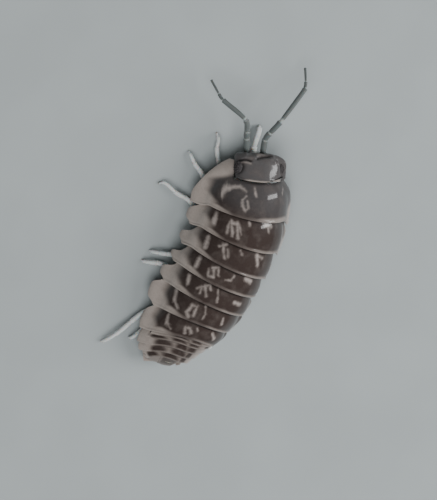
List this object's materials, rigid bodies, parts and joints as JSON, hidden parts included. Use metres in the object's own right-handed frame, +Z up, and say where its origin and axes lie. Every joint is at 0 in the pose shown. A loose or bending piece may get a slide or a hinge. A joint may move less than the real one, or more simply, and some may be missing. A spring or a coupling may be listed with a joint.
{
  "type": "woodlouse",
  "caption": "Life-size still model of a pill woodlouse walking: domed plated back, feelers forward, legs spread on the floor.",
  "frame": {"origin": "centre of the model's box at floor level, where the feet stand", "axes": "+Z up, head towards -Y, the animal's left side towards +X"},
  "size_m": [0.0102, 0.0228, 0.004],
  "materials": {
    "shell": "satin dark brown-grey cuticle with pale borders and rows of pale marks",
    "head": "satin dark grey cuticle",
    "eye": "glossy black facets",
    "antenna": "grey jointed feeler with pale joints",
    "leg": "whitish translucent cuticle",
    "gill": "cream soft cuticle"
  },
  "bodies": {
    "root": {"antenna_left": "antenna", "antenna_right": "antenna", "eye_left": "eye", "eye_right": "eye", "head": "head", "leg_left_1": "leg", "leg_left_2": "leg", "leg_left_3": "leg", "leg_left_4": "leg", "leg_left_5": "leg", "leg_left_6": "leg", "leg_left_7": "leg", "leg_right_1": "leg", "leg_right_2": "leg", "leg_right_3": "leg", "leg_right_4": "leg", "leg_right_5": "leg", "leg_right_6": "leg", "leg_right_7": "leg", "mouthparts": "gill", "pereonite_1": "shell", "pereonite_2": "shell", "pereonite_3": "shell", "pereonite_4": "shell", "pereonite_5": "shell", "pereonite_6": "shell", "pereonite_7": "shell", "pleonite_1": "shell", "pleonite_2": "shell", "pleonite_3": "shell", "pleonite_4": "shell", "pleonite_5": "shell", "pleopods_left": "gill", "pleopods_right": "gill", "telson": "shell", "uropod_left": "shell", "uropod_right": "shell"}
  },
  "joints": []
}
